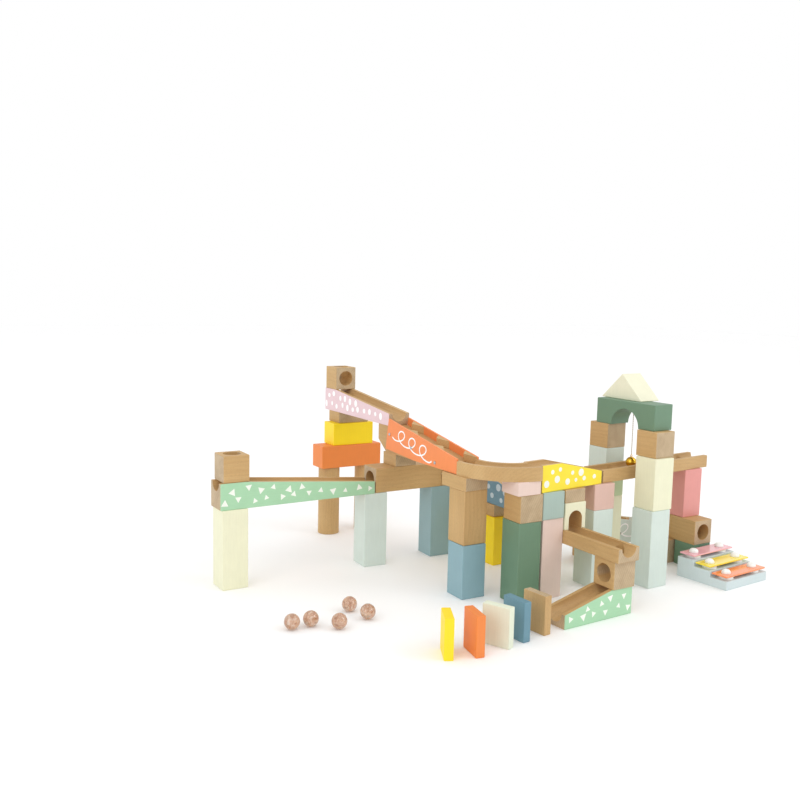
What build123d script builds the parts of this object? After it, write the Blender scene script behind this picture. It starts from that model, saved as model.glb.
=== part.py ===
from build123d import *
import os

# A wooden marble run, standing as built: pillars and blocks that carry grooved ramps and tracks,
# two stair tracks with baffles, a bell gate, dominoes, a three-note xylophone and glass marbles.
# Millimetres, +Z up, origin on the floor under the middle of the whole arrangement.
# +X runs along the long ramp from its high end, +Y runs away from the dominoes.

# ---- Driving dimensions ----
U = 30.0                  # side of a cube: blocks are multiples or halves of it
EASE = 0.8                # rounding of the sanded edges
BORE = 20.0               # bored holes, and the width of every groove
MARBLE = 16.0             # glass marble
FLAT = U                  # level stretch at the high end of a ramp
LOW_END = U / 2           # height of a ramp's low end, and of every track
SHORT_RAMP = 3.2 * U
LONG_TRACK = 6.5 * U
BEND = 1.7 * U            # centre-line radius of the quarter-turn tracks
POST_HEIGHT = 3.1 * U     # round posts of the tower stand a little above three cubes
PANEL = 2.2               # painted side panels of the stair tracks
DOMINO = (0.3 * U, U, 4 / 3 * U)
TRACK_TURN = 5.1          # the bell track stands turned by this angle, degrees
CENTRE_X, CENTRE_Y = 290.79, -39.86   # middle of the arrangement from the first pillar's corner

NEAR_LOW = (Align.MIN, Align.MIN, Align.MIN)
ON_FLOOR = (Align.CENTER, Align.CENTER, Align.MIN)


def at(x, y, z, turn=0):
    """A place in cube sides from the first pillar's corner, turned about the vertical."""
    return Location((x * U - CENTRE_X, y * U - CENTRE_Y, z * U), (0, 0, turn))


def save(piece, name):
    piece.part.label = name
    export_step(piece.part, f"parts/{name}.step")


os.makedirs("parts", exist_ok=True)


# ---- Pillars and plain blocks ----
def blocks(name, width, depth, height, *places):
    """Plain sanded blocks of one size in cube sides, one solid at each place."""
    with BuildPart() as piece:
        with Locations(*places):
            Box(width * U, depth * U, height * U, align=NEAR_LOW)
        fillet(piece.edges(), EASE)
    save(piece, name)


blocks("cream_pillars", 1, 1, 3, at(0, 0.08, 0, 1), at(14.5, -4.38, 0, 1), at(10.87, -0.8, 0))
blocks("mint_pillars", 1, 1, 3, at(6, 0.25, 0, -3), at(12.44, -5.96, 0), at(14.34, -7.08, 0, 1.5))
blocks("slate_pillar", 1, 1, 3, at(9.19, 0.29, 0, -2.5))
blocks("green_pillar", 1, 1, 3, at(8.67, -6.21, 0, -1))
blocks("pink_pillar", 1, 1, 3, at(9.79, -6.17, 0, 2.5))
blocks("yellow_pillar", 1, 1, 2, at(10.8, -1.97, 0))
blocks("cream_blocks", 1, 1, 2, at(14.42, -7.04, 3, 0.5), at(10.8, -4.95, 0))
blocks("teal_block", 1, 1, 2, at(7.27, -4.8, 0, -1.5))
blocks("beech_block", 1, 1, 2, at(7.31, -4.76, 2))
blocks("gate_mint_cube", 1, 1, 1, at(14.48, -4.37, 4, 0.5))
blocks("orange_block", 3, 1, 1, at(6.5, 5.16, 3.1))
blocks("yellow_block", 2, 1, 1, at(7.1, 5.25, 4.1, -1))
blocks("rose_cube", 1, 1, 1, at(12.46, -5.94, 3, -1))
blocks("teal_cube", 1, 1, 1, at(9.74, -6.2, 3))
blocks("green_cubes", 1, 1, 1, at(17.93, -6.1, 0, 1), at(14.5, -4.38, 3, 0.5))
blocks("beech_cubes", 1, 1, 1, at(8.69, -6.22, 3, -1.5), at(14.53, -6.92, 5, 1),
       at(14.51, -4.36, 5, 0.8), at(17.35, -5.03, 0))
blocks("pink_slab", 1, 1, 0.5, at(8.55, -6.25, 4, -1))
blocks("long_slabs", 1.5, 1, 0.5, at(7.4, 5.34, 5.1), at(8.3, -4.78, 4, 91.5))
blocks("beech_slabs", 1, 1, 0.5, at(7.4, 0.28, 4), at(10.83, -6.14, 3.5, 2), at(10.86, -1.85, 2),
       at(14.8, -3.28, 0), at(18.35, -3.28, 0))

# Two round posts under the orange block
with BuildPart() as round_posts:
    with Locations(at(7.12, 5.72, 0), at(8.98, 5.7, 0)):
        Cylinder(0.48 * U, POST_HEIGHT, align=ON_FLOOR)
    fillet(round_posts.edges().filter_by(GeomType.CIRCLE), EASE)
save(round_posts, "round_posts")


# ---- Bored blocks: holes meet in a ball-nosed pocket inside the block ----
UP, DOWN = (0, 0, 1), (0, 0, -1)
LEFT, RIGHT, FRONT = (-1, 0, 0), (1, 0, 0), (0, -1, 0)


def bored(name, width, depth, height, place, centre, *directions):
    """A sanded block with round holes that leave `centre` in each of the directions."""
    with BuildPart() as piece:
        with Locations(place):
            Box(width * U, depth * U, height * U, align=NEAR_LOW)
        fillet(piece.edges(), EASE)
        middle = Vector(*centre) * U
        with Locations(*[place * Plane(middle, z_dir=way).location for way in directions]):
            Cylinder(BORE / 2, 3 * U, align=ON_FLOOR, mode=Mode.SUBTRACT)
        with Locations(place * Location(middle)):
            Sphere(BORE / 2, mode=Mode.SUBTRACT)
    save(piece, name)


bored("start_cube", 1, 1, 1, at(0.08, 0.18, 4), (0.5, 0.5, 0.5), UP, RIGHT)
bored("tower_cube", 1, 1, 1, at(7.4, 6.68, 6.6, -90), (0.5, 0.5, 0.5), UP, RIGHT)
bored("elbow_cube", 1, 1, 1, at(10.85, -8.75, 1), (0.5, 0.5, 0.5), UP, LEFT)
bored("tunnel_block", 3.15, 1, 1, at(6.5, 0.27, 3), (1.5, 0.5, 0.5), LEFT, RIGHT)
bored("shaft_block", 1, 1, 2, at(17.98, -5.4, 2), (0.5, 0.5, 1), UP, DOWN)
bored("outlet_block", 1, 2, 1, at(17.93, -6.1, 1), (0.5, 1.2, 0.5), UP, FRONT)


# ---- Ramps: a wedge with a half-round groove along its top ----
def ramp(name, length, place):
    """A wedge with its high end at `place`, falling along its own X."""
    with BuildPart() as piece:
        with BuildSketch(Plane(place) * Plane.XZ):
            with BuildLine():
                Polyline((0, 0), (length, 0), (length, LOW_END), (FLAT, U), (0, U), close=True)
            make_face()
        extrude(amount=-U)
        fillet(piece.edges(), EASE)
        bend = Vector(FLAT, U / 2, U)
        downhill = (length - FLAT, 0, LOW_END - U)
        with Locations(*[place * Plane(bend, z_dir=way).location for way in (LEFT, downhill)]):
            Cylinder(BORE / 2, length, align=ON_FLOOR, mode=Mode.SUBTRACT)
        with Locations(place * Location(bend)):
            Sphere(BORE / 2, mode=Mode.SUBTRACT)
    save(piece, name)


ramp("long_ramp", 6.5 * U, at(-0.06, 0.12, 3, 1))
ramp("pink_ramp", 5.85 * U, at(7.38, 6.72, 5.6, -90))
ramp("blue_ramp", SHORT_RAMP, at(10.92, -0.95, 2.5, -90))
ramp("yellow_ramp", SHORT_RAMP, at(9.68, -6.17, 4, 5.8))
ramp("mint_ramp", SHORT_RAMP, at(11.8, -7.67, 0, 182.5))


# ---- Tracks: half-height bars with the same groove ----
def track(name, length, place, *drops):
    """A straight grooved bar along its own X, with a hole to fall through at each drop."""
    with BuildPart() as piece:
        with Locations(place):
            Box(length, U, LOW_END, align=NEAR_LOW)
        fillet(piece.edges(), EASE)
        with Locations(place * Location((length / 2, U / 2, LOW_END), (0, 90, 0))):
            Cylinder(BORE / 2, 2 * length, mode=Mode.SUBTRACT)
        with Locations(*[place * Location((drop, U / 2, 0)) for drop in drops]):
            Cylinder(BORE / 2, 3 * LOW_END, mode=Mode.SUBTRACT)
    save(piece, name)


track("bell_track", LONG_TRACK, at(12.96, -5.83, 4, TRACK_TURN), 1.25 * U, 5.58 * U)
track("drop_track", 5 * U, at(10.8, -3.95, 2, -90), 4.3 * U)


# Two quarter-turn bars: each starts along its own X, one bends to its left, the other to its right
with BuildPart() as curved_tracks:
    for start, side in ((at(7.35, -4.13, 4.5, -90), 1), (at(9.67, 0.27, 3), -1)):
        floor = Plane(start) * Plane((0, U / 2, 0))
        across = Plane(start) * Plane((0, U / 2, 0), x_dir=(0, 1, 0), z_dir=(1, 0, 0))
        with BuildLine(floor) as path:
            JernArc((0, 0), (1, 0), BEND, 90 * side)
        with BuildSketch(across):
            with Locations((0, LOW_END / 2)):
                Rectangle(U, LOW_END)
            with Locations((0, LOW_END)):
                Circle(BORE / 2, mode=Mode.SUBTRACT)
        sweep(path=path.line)
    fillet(curved_tracks.edges().group_by(Axis.Z)[0], EASE)
save(curved_tracks, "curved_tracks")


# ---- Stair tracks: a sloping floor between painted panels, with baffles to weave past ----
# In a track's own frame X runs along the fall, Y across it and Z up from its underside.
STAIR_TOP = 1.1 * U       # level lead-in at the high end
FLOOR_LOW = 0.28 * U      # the sloping floor's low end
PANEL_HIGH = 1.41 * U
PANEL_LOW = 0.58 * U
SNUB_RUN, SNUB_RISE = 0.65 * U, 0.46 * U   # the underside is cut away at the high end
PANEL_RAKE = 0.22 * U     # the panels' high end leans by this much
BAFFLE_PITCH = 0.92 * U   # from one baffle to the next, which is on the other side
BAFFLE = 0.78 * U         # length along its panel
BAFFLE_TIP = 0.3 * U      # from a baffle's upper end to its tip
BAFFLE_DEPTH = 0.28 * U
BAFFLE_GAP = 0.3          # left clear of the floor and of the panels' upper edges
SCREW = 1.9               # radius of a screw head
ORANGE_STAIRS = (5.87 * U, 0.95 * U, at(7.35, 1.75, 4.5, -90))
MINT_STAIRS = (5.4 * U, 0.95 * U, at(14.0, -3.3, 0.5))


# The beech bodies: a level lead-in, then the sloping floor
with BuildPart() as stair_cores:
    for length, lead, place in (ORANGE_STAIRS, MINT_STAIRS):
        with BuildSketch(Plane(place) * Plane.XZ.offset(-PANEL)):
            with BuildLine():
                Polyline((0, SNUB_RISE), (SNUB_RUN, 0), (length, 0), (length, FLOOR_LOW),
                         (lead, STAIR_TOP), (0, STAIR_TOP), close=True)
            make_face()
        extrude(amount=-(U - 2 * PANEL))
save(stair_cores, "stair_cores")


def stair_panels(name, length, lead, place):
    """The two thin side panels, which rise above the floor to keep the marble in."""
    with BuildPart() as piece:
        for inner_side in (0, U - PANEL):
            with BuildSketch(Plane(place) * Plane.XZ.offset(-inner_side)):
                with BuildLine():
                    Polyline((lead - PANEL_RAKE, 0.15 * U), (length / 2, 0.02 * U),
                             (length, 0.02 * U), (length, PANEL_LOW), (lead, PANEL_HIGH),
                             close=True)
                make_face()
            extrude(amount=-PANEL)
        fillet(piece.edges().filter_by(Axis.Z), EASE / 2)
        with Locations(*[place * spot for spot in screw_places(length, lead)]):
            Cylinder(SCREW, 2, mode=Mode.SUBTRACT)
    save(piece, name)


def screw_places(length, lead):
    """Three screws down each panel, on a line steeper than the floor."""
    spots = []
    for share in (0.02, 0.36, 0.71):
        x = lead + share * (length - lead)
        for y in (0, U):
            spots.append(Location((x, y, (0.8 - 0.85 * share) * U), (90, 0, 0)))
    return spots


def baffle_outlines(length, lead):
    """Each baffle's three corners in plan, from side to side in turn."""
    outlines = []
    start, far_side = lead + 0.44 * U, True
    while start + BAFFLE < length:
        wall = U - PANEL if far_side else PANEL
        tip = wall - BAFFLE_DEPTH if far_side else wall + BAFFLE_DEPTH
        outlines.append(((start, wall), (start + BAFFLE, wall), (start + BAFFLE_TIP, tip)))
        start, far_side = start + BAFFLE_PITCH, not far_side
    return outlines


stair_panels("orange_panels", *ORANGE_STAIRS)
stair_panels("mint_panels", *MINT_STAIRS)

with BuildPart() as stair_baffles:
    for length, lead, place in (ORANGE_STAIRS, MINT_STAIRS):
        with BuildSketch(Plane(place)):
            for corners in baffle_outlines(length, lead):
                with BuildLine():
                    Polyline(*corners, close=True)
                make_face()
    extrude(amount=2 * U)
    # Only what stands between the floor and the panels' upper edges is kept
    for length, lead, place in (ORANGE_STAIRS, MINT_STAIRS):
        with BuildSketch(Plane(place) * Plane.XZ):
            with BuildLine():
                Polyline((lead, STAIR_TOP + BAFFLE_GAP), (length, FLOOR_LOW + BAFFLE_GAP),
                         (length, PANEL_LOW - BAFFLE_GAP), (lead, PANEL_HIGH - BAFFLE_GAP),
                         close=True)
            make_face()
    extrude(amount=-U, mode=Mode.INTERSECT)
save(stair_baffles, "stair_baffles")

with BuildPart() as stair_screws:
    for length, lead, place in (ORANGE_STAIRS, MINT_STAIRS):
        with Locations(*[place * spot for spot in screw_places(length, lead)]):
            Cylinder(SCREW - 0.05, 1.9)
    chamfer(stair_screws.edges().filter_by(GeomType.CIRCLE), 0.3)
save(stair_screws, "stair_screws")


# ---- Arches and the roof ----
DOOR_RADIUS, DOOR_SPRING = 0.32 * U, 0.38 * U
DOOR = at(10.83, -6.17, 2.5)
with BuildPart() as door_arch:
    with Locations(DOOR):
        Box(U, U, U, align=NEAR_LOW)
    fillet(door_arch.edges(), EASE)
    with BuildSketch(Plane(DOOR) * Plane.XZ):
        with Locations((U / 2, 0)):
            Rectangle(2 * DOOR_RADIUS, 2 * DOOR_SPRING)
        with Locations((U / 2, DOOR_SPRING)):
            Circle(DOOR_RADIUS)
    extrude(amount=2 * U, both=True, mode=Mode.SUBTRACT)
save(door_arch, "door_arch")

GATE = at(14.66, -6.65, 6, 2.7)
GATE_DEPTH = 2.98
GATE_RADIUS = 0.7 * U
BELL_Y = GATE_DEPTH * U / 2
CORD_HOLE = 1.5           # radius of the blind hole that holds the bell's string
CORD_HOLE_DEPTH = 4
with BuildPart() as gate_arch:
    with Locations(GATE):
        Box(U, GATE_DEPTH * U, U, align=NEAR_LOW)
    fillet(gate_arch.edges(), EASE)
    with Locations(GATE * Location((U / 2, BELL_Y, 0), (0, 90, 0))):
        Cylinder(GATE_RADIUS, 2 * U, mode=Mode.SUBTRACT)
    with Locations(GATE * Location((U / 2, BELL_Y, 0))):
        Cylinder(CORD_HOLE, GATE_RADIUS + CORD_HOLE_DEPTH, align=ON_FLOOR, mode=Mode.SUBTRACT)
save(gate_arch, "gate_arch")

with BuildPart() as roof:
    with BuildSketch(Plane(at(14.97, -5.65, 7)) * Plane.YZ):
        with BuildLine():
            Polyline((0, 0), (2.22 * U, 0), (1.11 * U, 1.02 * U), close=True)
        make_face()
    extrude(amount=U)
    fillet(roof.edges(), EASE)
save(roof, "roof")

# ---- Bell: a slotted brass ball with a pellet inside, on a string from the arch ----
BELL = 0.21 * U           # outside radius
BELL_WALL = 0.6
BELL_CENTRE = 4.54 * U    # height above the floor
STRING = 0.5              # radius
STRING_GRIP = 1           # reach of the string into its hole
LOOP, LOOP_WIRE = 1.3, 0.4
PELLET = 1.5
hanging = GATE * Location((U / 2, BELL_Y, BELL_CENTRE - 6 * U))

with BuildPart() as bell_shell:
    with Locations(hanging):
        Sphere(BELL)
        Sphere(BELL - BELL_WALL, mode=Mode.SUBTRACT)
        Torus(BELL, 0.45)
    with Locations(hanging * Location((0, 0, -BELL))):
        Box(1.7 * BELL, 1.1, 1.3 * BELL, mode=Mode.SUBTRACT)
        Box(1.1, 1.7 * BELL, 1.3 * BELL, mode=Mode.SUBTRACT)
    with Locations(hanging * Location((0, 0, BELL + LOOP - LOOP_WIRE / 2), (90, 0, 0))):
        Torus(LOOP, LOOP_WIRE)
save(bell_shell, "bell_shell")

with BuildPart() as bell_pellet:
    with Locations(hanging * Location((0, 0, PELLET + BELL_WALL + 0.3 - BELL))):
        Sphere(PELLET)
save(bell_pellet, "bell_pellet")

STRING_FOOT = BELL + 2 * LOOP + LOOP_WIRE / 2 + 0.02
STRING_TOP = 6 * U - BELL_CENTRE + GATE_RADIUS + STRING_GRIP
with BuildPart() as bell_string:
    with Locations(hanging * Location((0, 0, STRING_FOOT))):
        Cylinder(STRING, STRING_TOP - STRING_FOOT, align=ON_FLOOR)
save(bell_string, "bell_string")

# ---- Xylophone: three bars on cushions above a stepped base ----
XYLOPHONE = at(16.87, -8.64, 0, 4)
BASE_WIDTH, TREAD = 2.6 * U, 0.76 * U
TREAD_HEIGHTS = (0.35 * U, 0.57 * U, 0.8 * U)
BAR = (2.48 * U, 0.68 * U, 1.8)
CUSHION = 0.12 * U
PIN_SPREAD = 0.82 * U
PIN, PIN_HEAD = 1.2, 5.4   # radii of the shank and of the domed head
HEAD_HEIGHT = 4.6
CUSHION_RADIUS = 8.5


def pin_places(tread):
    """The two pins of a bar, at the tread's surface."""
    height, y = TREAD_HEIGHTS[tread], (tread + 0.5) * TREAD
    return [XYLOPHONE * Location((BASE_WIDTH / 2 + dx, y, height)) for dx in (-PIN_SPREAD, PIN_SPREAD)]


with BuildPart() as xylophone_base:
    with BuildSketch(Plane(XYLOPHONE) * Plane.YZ):
        with BuildLine():
            Polyline((0, 0), (3 * TREAD, 0), (3 * TREAD, TREAD_HEIGHTS[2]),
                     (2 * TREAD, TREAD_HEIGHTS[2]), (2 * TREAD, TREAD_HEIGHTS[1]),
                     (TREAD, TREAD_HEIGHTS[1]), (TREAD, TREAD_HEIGHTS[0]),
                     (0, TREAD_HEIGHTS[0]), close=True)
        make_face()
    extrude(amount=BASE_WIDTH)
    fillet(xylophone_base.edges(), EASE / 2)
    for tread in range(3):
        with Locations(*pin_places(tread)):
            Cylinder(PIN + 0.05, 12, mode=Mode.SUBTRACT)
save(xylophone_base, "xylophone_base")

for tread, colour in enumerate(("orange", "yellow", "pink")):
    bar_place = Location((BASE_WIDTH / 2, (tread + 0.5) * TREAD, TREAD_HEIGHTS[tread] + CUSHION))
    with BuildPart() as bar:
        with Locations(XYLOPHONE * bar_place):
            Box(*BAR, align=ON_FLOOR)
        fillet(bar.edges(), EASE / 2)
        with Locations(*pin_places(tread)):
            Cylinder(PIN + 0.4, U, mode=Mode.SUBTRACT)
    save(bar, f"{colour}_bar")

with BuildPart() as domed_head:
    Cylinder(PIN_HEAD, HEAD_HEIGHT, align=ON_FLOOR)
    fillet(domed_head.faces().sort_by(Axis.Z)[-1].edges(), 0.9 * HEAD_HEIGHT)

with BuildPart() as xylophone_fixings:
    for tread in range(3):
        for foot in pin_places(tread):
            with Locations(foot):
                Cylinder(CUSHION_RADIUS, CUSHION, align=ON_FLOOR)
                Cylinder(PIN + 0.4, CUSHION, align=ON_FLOOR, mode=Mode.SUBTRACT)
            with Locations(foot * Location((0, 0, -5))):
                Cylinder(PIN, 5 + CUSHION + BAR[2] + 0.4, align=ON_FLOOR)
            with Locations(foot * Location((0, 0, CUSHION + BAR[2] + 0.1))):
                add(domed_head.part)
save(xylophone_fixings, "xylophone_fixings")

# ---- Dominoes and marbles on the floor ----
DOMINOES = {
    "yellow_domino": at(3.68, -9.01, 0, -27),
    "orange_domino": at(4.65, -9.32, 0, -12),
    "cream_domino": at(5.96, -9.27, 0, 24),
    "blue_domino": at(6.7, -9.06, 0, 5),
    "beech_domino": at(7.69, -8.9, 0, 6),
}
for name, place in DOMINOES.items():
    with BuildPart() as domino:
        with Locations(place):
            Box(*DOMINO, align=NEAR_LOW)
        fillet(domino.edges(), EASE)
    save(domino, name)

MARBLES = ((0.7, -4.52), (1.37, -4.55), (2.1, -5.19), (3.15, -3.91), (3.36, -4.85))
for number, (x, y) in enumerate(MARBLES, start=1):
    with BuildPart() as marble:
        with Locations(at(x, y, 0) * Location((0, 0, MARBLE / 2))):
            Sphere(MARBLE / 2)
    save(marble, f"marble_{number}")
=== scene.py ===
import math
import random

import bmesh
import bpy
from mathutils import Matrix, Vector


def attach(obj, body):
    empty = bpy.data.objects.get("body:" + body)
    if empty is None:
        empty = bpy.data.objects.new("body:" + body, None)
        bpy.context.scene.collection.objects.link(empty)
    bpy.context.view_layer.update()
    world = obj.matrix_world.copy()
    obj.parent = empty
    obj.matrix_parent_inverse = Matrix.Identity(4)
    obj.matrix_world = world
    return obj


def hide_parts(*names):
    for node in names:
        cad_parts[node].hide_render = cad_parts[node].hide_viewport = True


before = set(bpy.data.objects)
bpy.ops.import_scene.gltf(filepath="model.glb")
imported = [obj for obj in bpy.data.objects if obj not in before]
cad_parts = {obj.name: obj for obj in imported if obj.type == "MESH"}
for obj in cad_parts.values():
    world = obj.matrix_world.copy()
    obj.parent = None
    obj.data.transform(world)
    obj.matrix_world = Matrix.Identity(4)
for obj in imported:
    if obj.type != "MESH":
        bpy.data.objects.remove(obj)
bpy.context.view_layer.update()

U = 0.03                                   # side of a cube
CORNER = Vector((-0.29079, 0.03986, 0.0))  # the first pillar's near left corner


# ---------------------------------------------------------------- places
def at(x, y, z, turn=0.0):
    """A place in cube sides from the first pillar's corner, turned about the vertical."""
    spot = Matrix.Translation(CORNER + Vector((x, y, z)) * U)
    return spot @ Matrix.Rotation(math.radians(turn), 4, "Z")


# ---------------------------------------------------------------- camera, light and floor
EYE = (-10.993, -30.417, 11.023)           # in cube sides from the corner
YAW, PITCH, ROLL = 31.133, 6.819, 1.238    # degrees to the right, down, and over
FOCAL_LENGTH, SENSOR = 40.257, 36          # mm
MIDDLE = (0.0, 0.0, 0.1)                   # what the lights point at


def add_camera():
    """The eye is in front of the set and to its left, and looks a little down."""
    yaw, pitch, roll = (math.radians(angle) for angle in (YAW, PITCH, ROLL))
    forward = Vector((math.sin(yaw) * math.cos(pitch), math.cos(yaw) * math.cos(pitch),
                      -math.sin(pitch)))
    right = Vector((math.cos(yaw), -math.sin(yaw), 0.0))
    up = right.cross(forward)
    side = math.cos(roll) * right + math.sin(roll) * up
    top = math.cos(roll) * up - math.sin(roll) * right
    pose = Matrix((side, top, -forward)).transposed().to_4x4()
    pose.translation = CORNER + Vector(EYE) * U
    data = bpy.data.cameras.new("camera")
    data.lens = FOCAL_LENGTH
    data.sensor_width = SENSOR
    data.clip_end = 50
    camera = bpy.data.objects.new("camera", data)
    camera.matrix_world = pose
    bpy.context.collection.objects.link(camera)
    bpy.context.scene.camera = camera


def add_light(name, place, size, watts):
    """A square soft light that points at the middle of the set."""
    data = bpy.data.lights.new(name, "AREA")
    data.size = size
    data.energy = watts
    light = bpy.data.objects.new(name, data)
    light.location = place
    light.rotation_euler = (Vector(MIDDLE) - Vector(place)).to_track_quat("-Z", "Y").to_euler()
    bpy.context.collection.objects.link(light)


def add_studio():
    """An even white surround, two soft lights and a pale floor."""
    world = bpy.data.worlds.new("studio")
    world.use_nodes = True
    sky = world.node_tree.nodes["Background"]
    sky.inputs["Color"].default_value = (1.0, 1.0, 1.0, 1.0)
    sky.inputs["Strength"].default_value = 1.0
    bpy.context.scene.world = world
    bpy.context.scene.view_settings.view_transform = "Standard"
    add_light("key", (1.5, -1.6, 1.7), size=1.2, watts=10.5)
    add_light("fill", (-2.2, -0.9, 1.2), size=1.4, watts=9)
    bpy.ops.mesh.primitive_plane_add(size=14)
    floor = bpy.context.object
    floor.name = "floor"
    floor.data.materials.append(plain("floor_white", "#FFFFFF", 0.75))


# ---------------------------------------------------------------- material helpers
def linear(code):
    """Linear colour, opaque, from an sRGB hex code."""
    channels = [int(code[i:i + 2], 16) / 255 for i in (1, 3, 5)]
    return tuple(c / 12.92 if c <= 0.04045 else ((c + 0.055) / 1.055) ** 2.4
                 for c in channels) + (1.0,)


def grey(level):
    return (level, level, level, 1.0)


def darker(colour, share):
    """The colour with its three channels scaled by the share."""
    return tuple(channel * share for channel in colour[:3]) + (1.0,)


class Shader:
    """A material with short calls for the nodes that the woods and paints share."""

    def __init__(self, name):
        self.material = bpy.data.materials.new(name)
        self.material.use_nodes = True
        self.tree = self.material.node_tree
        self.surface = self.tree.nodes["Principled BSDF"]

    def node(self, kind, **values):
        made = self.tree.nodes.new(kind)
        for key, value in values.items():
            setattr(made, key, value)
        return made

    def link(self, source, target):
        self.tree.links.new(source, target)

    def stretched(self, direction, along, across):
        """Object coordinates turned so that the grain runs along X, then scaled."""
        coords = self.node("ShaderNodeTexCoord")
        turned = self.node("ShaderNodeMapping", vector_type="TEXTURE")
        turned.inputs["Rotation"].default_value = Vector((1, 0, 0)).rotation_difference(
            Vector(direction)).to_euler()
        scaled = self.node("ShaderNodeMapping")
        scaled.inputs["Scale"].default_value = (along, across, across)
        self.link(coords.outputs["Object"], turned.inputs["Vector"])
        self.link(turned.outputs["Vector"], scaled.inputs["Vector"])
        return scaled.outputs["Vector"]

    def noise(self, vector, scale=1.0, detail=4.0, roughness=0.55, distortion=0.0):
        made = self.node("ShaderNodeTexNoise")
        made.inputs["Scale"].default_value = scale
        made.inputs["Detail"].default_value = detail
        made.inputs["Roughness"].default_value = roughness
        made.inputs["Distortion"].default_value = distortion
        self.link(vector, made.inputs["Vector"])
        return made.outputs["Fac"]

    def ramp(self, value, *stops):
        """A colour ramp through (position, colour) stops."""
        made = self.node("ShaderNodeValToRGB")
        elements = made.color_ramp.elements      # a new ramp has two
        for index, (position, colour) in enumerate(stops):
            stop = elements[index] if index < 2 else elements.new(position)
            stop.position = position
            stop.color = colour
        self.link(value, made.inputs["Fac"])
        return made.outputs["Color"]

    def mix(self, blend, factor, first, second):
        """Blend two colours by a fixed factor."""
        made = self.node("ShaderNodeMix", data_type="RGBA", blend_type=blend)
        made.inputs["Factor"].default_value = factor
        self.link(first, made.inputs["A"])
        self.link(second, made.inputs["B"])
        return made.outputs["Result"]

    def choose(self, share, first, second):
        """The first colour where the share is 0, the second where it is 1."""
        made = self.node("ShaderNodeMix", data_type="RGBA")
        self.link(share, made.inputs["Factor"])
        self.link(first, made.inputs["A"])
        self.link(second, made.inputs["B"])
        return made.outputs["Result"]

    def above(self, value, limit):
        """One where the value is over the limit, zero elsewhere."""
        made = self.node("ShaderNodeMath", operation="GREATER_THAN")
        self.link(value, made.inputs[0])
        made.inputs[1].default_value = limit
        return made.outputs[0]

    def size_of(self, value):
        made = self.node("ShaderNodeMath", operation="ABSOLUTE")
        self.link(value, made.inputs[0])
        return made.outputs[0]

    def component(self, source, direction):
        """The part in one direction of the "Object" coordinates or of the "Normal"."""
        coords = self.node("ShaderNodeTexCoord")
        made = self.node("ShaderNodeVectorMath", operation="DOT_PRODUCT")
        made.inputs[1].default_value = direction
        self.link(coords.outputs[source], made.inputs[0])
        return made.outputs["Value"]

    def bump(self, height, strength, distance):
        made = self.node("ShaderNodeBump")
        made.inputs["Strength"].default_value = strength
        made.inputs["Distance"].default_value = distance
        self.link(height, made.inputs["Height"])
        self.link(made.outputs["Normal"], self.surface.inputs["Normal"])

    def span(self, value, low, high):
        """Map a 0 to 1 value to a range."""
        made = self.node("ShaderNodeMapRange")
        made.inputs["To Min"].default_value = low
        made.inputs["To Max"].default_value = high
        self.link(value, made.inputs["Value"])
        return made.outputs["Result"]

    def finish(self, colour, relief, roughness, strength, distance):
        """Set the colour, and let one relief drive both the roughness and the bump."""
        self.link(colour, self.surface.inputs["Base Color"])
        self.link(self.span(relief, *roughness), self.surface.inputs["Roughness"])
        self.bump(relief, strength, distance)
        return self.material


def plain(name, colour, roughness):
    """One colour all over, for the studio floor only."""
    made = Shader(name)
    made.surface.inputs["Base Color"].default_value = linear(colour)
    made.surface.inputs["Roughness"].default_value = roughness
    return made.material


# ---------------------------------------------------------------- wood and paint
BEECH_TONE = "#CCA974"
END_TONES = "#B59D7C", "#C6AF8D"
FROM_HEART = (0.0, 0.9, 0.37)              # metres from the tree's heart to the origin
END_STARTS, END_FULL = 0.8, 0.95           # cosines to the grain where end grain sets in
PAINT_FINISH = {"roughness": (0.40, 0.58), "strength": 0.18, "distance": 0.00025}
PAINT_ROUND_EDGE = 0.0006                  # how far paint on a side comes round its edges
DOORWAY_SLACK = 0.00005                    # keeps the doorway's own walls on the bare side


def end_grain_mask(made, direction):
    """One on the faces that cut across the grain, zero on the others."""
    cut = made.node("ShaderNodeMapRange")
    cut.inputs["From Min"].default_value = END_STARTS
    cut.inputs["From Max"].default_value = END_FULL
    made.link(made.size_of(made.component("Normal", direction)), cut.inputs["Value"])
    return cut.outputs["Result"]


def year_rings(made, direction):
    """Rings about a tree's heart that lies well outside every block."""
    shifted = made.node("ShaderNodeMapping")
    shifted.inputs["Location"].default_value = FROM_HEART
    made.link(made.stretched(direction, 0.5, 1), shifted.inputs["Vector"])
    rings = made.node("ShaderNodeTexWave", wave_type="RINGS", rings_direction="X")
    rings.inputs["Scale"].default_value = 120
    rings.inputs["Distortion"].default_value = 7
    rings.inputs["Detail"].default_value = 3
    rings.inputs["Detail Scale"].default_value = 0.35
    made.link(shifted.outputs["Vector"], rings.inputs["Vector"])
    return rings.outputs["Fac"]


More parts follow.
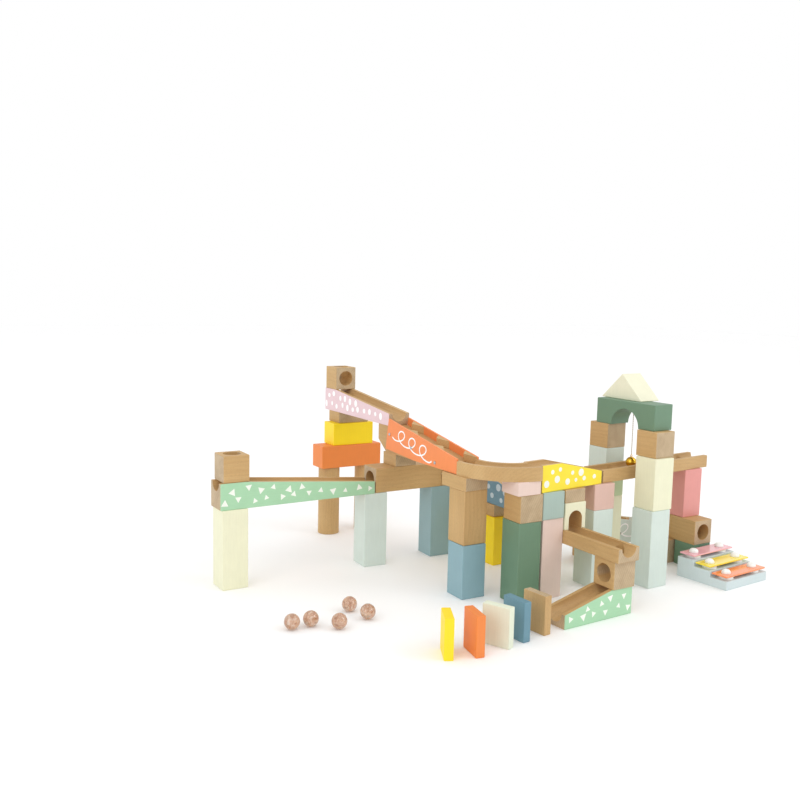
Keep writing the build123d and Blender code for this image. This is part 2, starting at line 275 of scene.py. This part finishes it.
def wood_colour(made, direction, end_grain=True):
    """Beech: soft bands and year rings, fine streaks, short dark flecks, and greyer end grain.

    Returns the colour and the streaks, which also serve as relief.
    """
    light = linear(BEECH_TONE)
    dark = (light[0] * 0.92, light[1] * 0.88, light[2] * 0.83, 1.0)
    bands = made.noise(made.stretched(direction, 7, 60), detail=3, distortion=0.6)
    streaks = made.noise(made.stretched(direction, 25, 800), detail=5, roughness=0.65)
    flecks = made.noise(made.stretched(direction, 420, 2100), detail=2)
    blocks = made.noise(made.stretched(direction, 20, 20), detail=0)
    rings = year_rings(made, direction)
    colour = made.mix("MULTIPLY", 1.0, made.ramp(bands, (0.30, dark), (0.62, light)),
                      made.ramp(streaks, (0.25, grey(0.90)), (0.75, grey(1.03))))
    colour = made.mix("MULTIPLY", 0.6, colour,
                      made.ramp(flecks, (0.30, grey(0.68)), (0.44, grey(1.0))))
    colour = made.mix("MULTIPLY", 1.0, colour,
                      made.ramp(rings, (0.05, (0.965, 0.95, 0.93, 1)), (0.6, grey(1.0))))
    colour = made.mix("MULTIPLY", 1.0, colour,
                      made.ramp(blocks, (0.3, (0.94, 0.91, 0.87, 1)),
                                (0.7, (1.04, 1.03, 1.02, 1))))
    if not end_grain:
        return colour, streaks
    pores = made.noise(made.stretched(direction, 1500, 1500), detail=3, roughness=0.7)
    end_dark, end_light = (linear(tone) for tone in END_TONES)
    cut = made.mix("MULTIPLY", 1.0, made.ramp(bands, (0.3, end_dark), (0.65, end_light)),
                   made.ramp(rings, (0.05, (0.90, 0.88, 0.85, 1)), (0.5, grey(1.0))))
    cut = made.mix("MULTIPLY", 1.0, cut, made.ramp(pores, (0.3, grey(0.84)), (0.6, grey(1.02))))
    return made.choose(end_grain_mask(made, direction), colour, cut), streaks


def beech(name, direction, end_grain=True):
    made = Shader(name)
    colour, streaks = wood_colour(made, direction, end_grain)
    return made.finish(colour, streaks, (0.48, 0.66), 0.25, 0.0003)


def paint_colour(made, colour, direction):
    """Satin paint: a little cloudiness, with the grain just showing through.

    Returns the colour and the grain, which also serves as relief.
    """
    flat = linear(colour)
    shade = darker(flat, 0.965)
    clouds = made.noise(made.stretched((1, 0, 0), 60, 60), detail=3)
    grain = made.noise(made.stretched(direction, 45, 900), detail=4, roughness=0.6)
    tint = made.mix("MULTIPLY", 1.0, made.ramp(clouds, (0.32, shade), (0.66, flat)),
                    made.ramp(grain, (0.25, grey(0.95)), (0.7, grey(1.0))))
    return tint, grain


def paint(name, colour, direction=(0, 0, 1)):
    made = Shader(name)
    tint, grain = paint_colour(made, colour, direction)
    return made.finish(tint, grain, **PAINT_FINISH)


def painted_sides(name, colour, place):
    """Beech with paint on the two long sides only, which are at 0 and U across the piece."""
    made = Shader(name)
    turned = place.to_3x3()
    lengthwise, across = turned @ Vector((1, 0, 0)), turned @ Vector((0, 1, 0))
    wood, streaks = wood_colour(made, lengthwise)
    tint, _ = paint_colour(made, colour, lengthwise)
    offset = made.node("ShaderNodeMath", operation="SUBTRACT")
    made.link(made.component("Object", across), offset.inputs[0])
    offset.inputs[1].default_value = (place @ Vector((0, U / 2, 0))).dot(across)
    on_side = made.above(made.size_of(offset.outputs[0]), U / 2 - PAINT_ROUND_EDGE)
    return made.finish(made.choose(on_side, wood, tint), streaks, (0.46, 0.62), 0.2, 0.0003)


# ---------------------------------------------------------------- finishes of the CAD pieces
def wear(node, material):
    """Put one material on a whole node."""
    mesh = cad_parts[node].data
    mesh.materials.clear()
    mesh.materials.append(material)


LONG_RAMP = at(-0.06, 0.12, 3, 1)
PINK_RAMP = at(7.38, 6.72, 5.6, -90)
BLUE_RAMP = at(10.92, -0.95, 2.5, -90)
YELLOW_RAMP = at(9.68, -6.17, 4, 5.8)
MINT_RAMP = at(11.8, -7.67, 0, 182.5)
ORANGE_STAIRS = at(7.35, 1.75, 4.5, -90)
MINT_STAIRS = at(14.0, -3.3, 0.5)
DOOR = at(10.83, -6.17, 2.5)
DOOR_RADIUS, DOOR_SPRING = 0.32 * U, 0.38 * U
LENGTH_X, LENGTH_Y, UPRIGHT = (1, 0, 0), (0, 1, 0), (0, 0, 1)

WOODS = {
    LENGTH_X: ("start_cube", "tunnel_block", "bell_track"),
    LENGTH_Y: ("beech_cubes", "beech_slabs", "long_slabs", "elbow_cube", "tower_cube",
               "outlet_block", "drop_track", "stair_cores"),
    UPRIGHT: ("beech_block", "round_posts", "beech_domino"),
}
BENT_AND_SAWN = ("curved_tracks", "stair_baffles")   # beech with no clear end grain
# The sage is darker and greener than the pale mint: it is painted shade and bounce light on the
# cube below the bell track.
CREAM, SHADED_SAGE = "#EBEACB", "#C3D6AC"
PAINTS = {
    "cream": (CREAM, ("cream_pillars", "cream_blocks")),
    "pale_mint": ("#D3E0D8", ("mint_pillars", "gate_mint_cube", "mint_panels")),
    "slate": ("#93B1B6", ("slate_pillar",)),
    "blue": ("#8BADB7", ("teal_block",)),
    "deep_blue": ("#6890A0", ("blue_domino",)),
    "green": ("#6C8C72", ("green_pillar", "gate_arch")),
    "blush": ("#E8CFC4", ("pink_pillar", "pink_slab")),
    "salmon": ("#DDB9AC", ("rose_cube",)),
    "rose": ("#E39A94", ("shaft_block",)),
    "yellow": ("#FFDF14", ("yellow_pillar", "yellow_block", "yellow_domino")),
    "orange": ("#EE8840", ("orange_block", "orange_domino")),
    "coral": ("#F58F52", ("orange_panels",)),
    "pale_teal": ("#A9BEB5", ("teal_cube",)),
    "ivory": ("#EFEDD2", ("roof",)),
    "white_green": ("#E4EAD4", ("cream_domino",)),
    "stone_blue": ("#CFDCDD", ("xylophone_base",)),
}
SIDES = {
    "long_ramp": ("#A9D5AE", LONG_RAMP),
    "pink_ramp": ("#E9CDD2", PINK_RAMP),
    "blue_ramp": ("#7397A8", BLUE_RAMP),
    "yellow_ramp": ("#FBE438", YELLOW_RAMP),
    "mint_ramp": ("#A9D5AE", MINT_RAMP),
}


def door_paint(colour):
    """Paint outside, bare beech on the doorway's own walls."""
    made = Shader("door_paint")
    wood, _ = wood_colour(made, LENGTH_Y)
    tint, grain = paint_colour(made, colour, UPRIGHT)
    centre = DOOR @ Vector((U / 2, 0, DOOR_SPRING))      # of the doorway's round top
    coords = made.node("ShaderNodeTexCoord")
    offset = made.node("ShaderNodeVectorMath", operation="SUBTRACT")
    offset.inputs[1].default_value = centre
    made.link(coords.outputs["Object"], offset.inputs[0])
    upper = made.node("ShaderNodeVectorMath", operation="MAXIMUM")
    upper.inputs[1].default_value = (-1.0, -1.0, 0.0)
    made.link(offset.outputs["Vector"], upper.inputs[0])
    flat = made.node("ShaderNodeVectorMath", operation="MULTIPLY")
    flat.inputs[1].default_value = (1.0, 0.0, 1.0)
    made.link(upper.outputs["Vector"], flat.inputs[0])
    reach = made.node("ShaderNodeVectorMath", operation="LENGTH")
    made.link(flat.outputs["Vector"], reach.inputs[0])
    outside = made.above(reach.outputs["Value"], DOOR_RADIUS + DOORWAY_SLACK)
    return made.finish(made.choose(outside, wood, tint), grain, **PAINT_FINISH)


def green_with_shaded_sage():
    """Green on the cube on the floor; on the one high in the gate, a darker, greener sage that is
    painted shade and bounce light from below the bell track.
    """
    made = Shader("paint_green_with_shaded_sage")
    green, grain = paint_colour(made, PAINTS["green"][0], UPRIGHT)
    # painted shade: the high cube's sage stands in for the shade and bounce light below the bell
    # track
    sage_in_shade, _ = paint_colour(made, SHADED_SAGE, UPRIGHT)
    high = made.above(made.component("Object", UPRIGHT), 2 * U)
    return made.finish(made.choose(high, green, sage_in_shade), grain, **PAINT_FINISH)


def enamel(name, colour):
    """Glossy enamel on a metal bar, with the slightest orange peel."""
    made = Shader(name)
    peel = made.noise(made.stretched((1, 0, 0), 400, 400), detail=2)
    tint = linear(colour)
    made.link(made.ramp(peel, (0.2, darker(tint, 0.94)), (0.7, tint)),
              made.surface.inputs["Base Color"])
    made.surface.inputs["Roughness"].default_value = 0.22
    made.surface.inputs["Coat Weight"].default_value = 0.5
    made.bump(peel, 0.08, 0.0002)
    return made.material


def metal(name, colour, roughness):
    """Polished metal with fine scuffs in its roughness."""
    made = Shader(name)
    scuffs = made.noise(made.stretched((1, 0, 0), 500, 900), detail=5)
    tint = linear(colour)
    made.surface.inputs["Metallic"].default_value = 1.0
    return made.finish(made.ramp(scuffs, (0.25, darker(tint, 0.85)), (0.65, tint)),
                       scuffs, roughness, 0.05, 0.0001)


def cap_plastic():
    """Slightly cloudy white plastic that lets a little light in."""
    made = Shader("white_caps")
    cloud = made.noise(made.stretched((1, 0, 0), 300, 300), detail=2)
    made.link(made.ramp(cloud, (0.3, linear("#EDEDE8")), (0.7, linear("#FBFBF8"))),
              made.surface.inputs["Base Color"])
    made.surface.inputs["Roughness"].default_value = 0.28
    made.surface.inputs["Subsurface Weight"].default_value = 0.15
    made.surface.inputs["Subsurface Radius"].default_value = (0.002, 0.002, 0.002)
    made.bump(cloud, 0.05, 0.0001)
    return made.material


def swirled_glass():
    """Amber lustre glass with milky swirls inside."""
    made = Shader("marble_glass")
    swirl = made.noise(made.stretched((1, 0.4, 0.3), 110, 190), detail=4, distortion=2.2)
    threads = made.noise(made.stretched((0.3, 1, 0.5), 160, 600), detail=3, distortion=1.4)
    tint = made.ramp(swirl, (0.32, linear("#B98561")), (0.50, linear("#E3BD9F")),
                     (0.66, linear("#F7E8DA")))
    tint = made.mix("MULTIPLY", 0.6, tint,
                    made.ramp(threads, (0.35, linear("#C9906C")), (0.55, grey(1.0))))
    made.link(tint, made.surface.inputs["Base Color"])
    made.surface.inputs["Transmission Weight"].default_value = 0.7
    made.surface.inputs["IOR"].default_value = 1.5
    made.surface.inputs["Roughness"].default_value = 0.03
    made.surface.inputs["Coat Weight"].default_value = 0.6
    made.surface.inputs["Coat Roughness"].default_value = 0.02
    return made.material


def finish_nodes():
    for direction, nodes in WOODS.items():
        for node in nodes:
            wear(node, beech(f"beech_{node}", direction))
    for node in BENT_AND_SAWN:
        wear(node, beech(f"beech_{node}", LENGTH_X, end_grain=False))
    for name, (colour, nodes) in PAINTS.items():
        material = paint(f"paint_{name}", colour)
        for node in nodes:
            wear(node, material)
    for node, (colour, place) in SIDES.items():
        wear(node, painted_sides(f"sides_{node}", colour, place))
    wear("green_cubes", green_with_shaded_sage())
    wear("door_arch", door_paint(CREAM))
    wear("pink_bar", enamel("enamel_pink", "#F3B3BC"))
    wear("yellow_bar", enamel("enamel_yellow", "#FFE53A"))
    wear("orange_bar", enamel("enamel_orange", "#FF8F52"))
    wear("bell_shell", metal("bell_brass", "#E5B53C", (0.10, 0.26)))
    wear("bell_pellet", metal("pellet_steel", "#B9BABC", (0.2, 0.4)))
    wear("stair_screws", metal("screw_steel", "#C4C6C8", (0.2, 0.4)))
    wear("xylophone_fixings", cap_plastic())
    glass = swirled_glass()
    for number in range(1, 6):
        wear(f"marble_{number}", glass)


# ---------------------------------------------------------------- printed marks
PROUD = 0.00012            # thickness of a printed mark
FLAT, LOW_END = U, U / 2   # a ramp's level start, and its height at the low end
SHORT_RAMP, MIDDLE_RAMP, LONGEST_RAMP = 3.2 * U, 5.85 * U, 6.5 * U
MARGIN = 0.2 * U           # from a side's edges to the nearest mark's middle
TWO_ROWS = 0.38 * U        # marks stand in two rows where the side within its margins is higher


def add_marks(name, place, across, outlines, material):
    """Thin printed shapes on a side, from outlines in the side's own X and Z."""
    mesh = bmesh.new()
    outward = -PROUD if across == 0 else PROUD
    for outline in outlines:
        under = [mesh.verts.new((x, across, z)) for x, z in outline]
        over = [mesh.verts.new((x, across + outward, z)) for x, z in outline]
        mesh.faces.new(over)
        mesh.faces.new(under[::-1])
        for i in range(len(under)):
            j = (i + 1) % len(under)
            mesh.faces.new((under[i], under[j], over[j], over[i]))
    bmesh.ops.recalc_face_normals(mesh, faces=mesh.faces)
    mesh.transform(place)
    data = bpy.data.meshes.new(name)
    mesh.to_mesh(data)
    mesh.free()
    data.materials.append(material)
    piece = bpy.data.objects.new(name, data)
    bpy.context.collection.objects.link(piece)
    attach(piece, "set")


def oval(x, z, half_width, half_height, corners=20):
    turns = [2 * math.pi * i / corners for i in range(corners)]
    return [(x + half_width * math.cos(t), z + half_height * math.sin(t)) for t in turns]


def triangle(x, z, size, turn):
    turns = [turn + 2 * math.pi * i / 3 for i in range(3)]
    return [(x + size * math.cos(t), z + size * math.sin(t)) for t in turns]


def ramp_height(x, length):
    """The height of a ramp's side at `x` from its high end."""
    if x < FLAT:
        return U
    return U - (U - LOW_END) * (x - FLAT) / (length - FLAT)


def scattered(length, step, draw):
    """Spots over a ramp's side, in staggered columns with a little disorder."""
    column, x = 0, MARGIN
    places = []
    while x < length - MARGIN:
        height = ramp_height(x, length) - 2 * MARGIN
        rows = 2 if height > TWO_ROWS else 1
        for row in range(rows):
            share = 0.5 if rows == 1 else (0.14 + 0.66 * row + 0.18 * (column % 2))
            spot_x = x + draw.uniform(-0.08, 0.08) * U + (0.5 * step if row else 0)
            spot_z = MARGIN + share * height + draw.uniform(-0.05, 0.05) * U
            top = ramp_height(spot_x, length) - MARGIN
            places.append((spot_x, min(max(spot_z, MARGIN), top)))
        column, x = column + 1, x + step
    return [(x, z) for x, z in places if x < length - MARGIN]


def triangles(length, seed):
    draw = random.Random(seed)
    return [triangle(x, z, draw.uniform(0.11, 0.17) * U, draw.uniform(0, 2 * math.pi))
            for x, z in scattered(length, 0.55 * U, draw)]


def dots(length, seed, low, high):
    draw = random.Random(seed)
    shapes = []
    for x, z in scattered(length, 0.52 * U, draw):
        radius = draw.uniform(low, high) * U
        shapes.append(oval(x, z, radius, radius))
    return shapes


def drops(length, seed):
    draw = random.Random(seed)
    return [oval(x, z, draw.uniform(0.075, 0.125) * U, draw.uniform(0.09, 0.15) * U)
            for x, z in scattered(length, 0.5 * U, draw)]


def scribble(name, place, start, end, loops, material):
    """A row of written loops as a flattened bead, on the side at 0 across the piece.

    The loops ride along the line from start to end, given in the side's own X and Z.
    """
    reach, rise, width = 0.42 * U, 0.255 * U, 0.06 * U
    first, last = -0.27 * math.pi, (2 * loops + 0.3) * math.pi
    steps = 30 * loops
    curve = bpy.data.curves.new(name, "CURVE")
    curve.dimensions = "3D"
    curve.bevel_depth = width / 2
    curve.use_fill_caps = True
    spline = curve.splines.new("POLY")
    spline.points.add(steps)
    for i, point in enumerate(spline.points):
        turn = first + (last - first) * i / steps
        share = turn / (2 * math.pi * loops)
        swing = 0.6 if share < 0 else 1.0 if share < 1 else 0.35   # less at the line's two ends
        sway = reach * swing * math.sin(turn)
        point.co = (start[0] + (end[0] - start[0]) * share + sway, 0.0,
                    start[1] + (end[1] - start[1]) * share - rise * math.cos(turn), 1.0)
    bead = bpy.data.objects.new(f"{name}_line", curve)
    mesh = bpy.data.meshes.new_from_object(bead)
    bpy.data.objects.remove(bead)
    flat = Matrix.Diagonal((1.0, 2 * PROUD / width, 1.0, 1.0))
    mesh.transform(place @ flat)
    mesh.materials.clear()
    mesh.materials.append(material)
    piece = bpy.data.objects.new(name, mesh)
    bpy.context.collection.objects.link(piece)
    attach(piece, "set")


def print_marks():
    """Marks on both sides of every ramp, and a scribble on each stair track's near side."""
    pale = paint("print_pale", "#F4F8EE")
    white = paint("print_white", "#FFFFFF")
    ice = paint("print_ice", "#C9DBE4")
    prints = (
        ("long_ramp_triangles", LONG_RAMP, triangles(LONGEST_RAMP, seed=4), pale),
        ("mint_ramp_triangles", MINT_RAMP, triangles(SHORT_RAMP, seed=9), pale),
        ("yellow_ramp_dots", YELLOW_RAMP, dots(SHORT_RAMP, seed=5, low=0.07, high=0.15), pale),
        ("blue_ramp_dots", BLUE_RAMP, dots(SHORT_RAMP, seed=8, low=0.10, high=0.15), ice),
        ("pink_ramp_drops", PINK_RAMP, drops(MIDDLE_RAMP, seed=3), white),
    )
    for side, across in (("near", 0), ("far", U)):
        for name, place, outlines, material in prints:
            add_marks(f"{name}_{side}", place, across, outlines, material)
    start, end, loops = (1.57 * U, 0.853 * U), (3.97 * U, 0.385 * U), 3
    scribble("orange_stairs_scribble", ORANGE_STAIRS, start, end, loops, white)
    scribble("mint_stairs_scribble", MINT_STAIRS, start, end, loops, white)


# ---------------------------------------------------------------- the bell's string
GATE = at(14.66, -6.65, 6, 2.7)
GATE_DEPTH, GATE_RADIUS = 2.98 * U, 0.7 * U
STRING_GRIP = 0.001        # reach into the hole in the arch
STRING_WIDTH = 0.001
BELL_CENTRE, BELL_RADIUS = 4.54 * U, 0.0063
LOOP_RADIUS, LOOP_WIRE = 0.0013, 0.0004    # the bell's loop, sunk by half its wire's radius
STRING_GAP = 0.00002       # between the loop's top and the string's end
STRING_FOOT = BELL_CENTRE + BELL_RADIUS + 2 * LOOP_RADIUS + LOOP_WIRE / 2 + STRING_GAP


def thread():
    """Twisted cotton: pale and darker plies that wind round the string."""
    made = Shader("cotton_thread")
    plies = made.node("ShaderNodeTexWave", wave_type="BANDS", bands_direction="DIAGONAL")
    plies.inputs["Scale"].default_value = 260
    plies.inputs["Distortion"].default_value = 1.5
    coords = made.node("ShaderNodeTexCoord")
    made.link(coords.outputs["Object"], plies.inputs["Vector"])
    made.link(made.ramp(plies.outputs["Fac"], (0.1, linear("#B8AD98")), (0.6, linear("#E6DFD0"))),
              made.surface.inputs["Base Color"])
    made.surface.inputs["Roughness"].default_value = 0.9
    made.bump(plies.outputs["Fac"], 0.5, 0.0002)
    return made.material


def hang_bell():
    """The string from its hole in the arch down to the bell, straight under its own weight."""
    exit_point = GATE @ Vector((U / 2, GATE_DEPTH / 2, GATE_RADIUS + STRING_GRIP))
    foot = Vector((exit_point.x, exit_point.y, STRING_FOOT))
    curve = bpy.data.curves.new("bell_cord", "CURVE")
    curve.dimensions = "3D"
    curve.bevel_depth = STRING_WIDTH / 2
    curve.bevel_resolution = 3
    curve.use_fill_caps = True
    spline = curve.splines.new("NURBS")
    shares = (0.0, 0.3, 0.65, 1.0)         # of the way down
    spline.points.add(len(shares) - 1)
    for point, share in zip(spline.points, shares):
        point.co = (*exit_point.lerp(foot, share), 1.0)
    spline.order_u = 3
    spline.use_endpoint_u = True
    curve.materials.append(thread())
    cord = bpy.data.objects.new("bell_cord", curve)
    bpy.context.collection.objects.link(cord)
    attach(cord, "bell")
    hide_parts("bell_string")


add_camera()
hang_bell()
add_studio()
finish_nodes()
print_marks()
